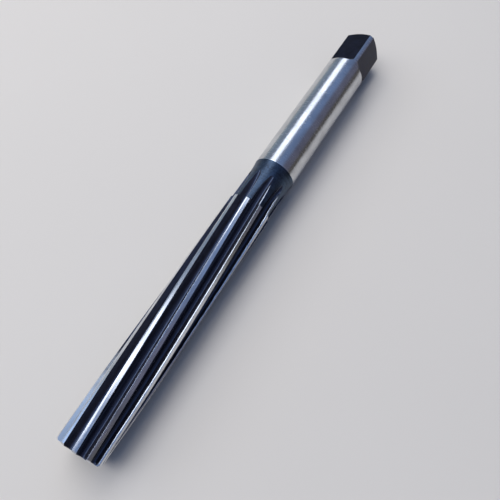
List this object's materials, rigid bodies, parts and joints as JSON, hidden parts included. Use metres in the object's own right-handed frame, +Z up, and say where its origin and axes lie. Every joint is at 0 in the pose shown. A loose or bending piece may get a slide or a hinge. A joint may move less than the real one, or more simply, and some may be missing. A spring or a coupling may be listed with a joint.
{
  "type": "hand reamer",
  "caption": "Straight-shank hand reamer with slow left-hand spiral flutes, a short taper lead and a square for a tap wrench.",
  "frame": {"origin": "centre of the bounding box in plan, on the surface that the reamer lies on; the axis is 7 mm above it", "axes": "+X along the axis from the cutting end to the square, +Z up"},
  "size_m": [0.163, 0.014, 0.014],
  "materials": {
    "tool_steel": "ground bright on the lands and shank, black oxide elsewhere"
  },
  "bodies": {
    "root": {"hand_reamer": "tool_steel"}
  },
  "joints": []
}
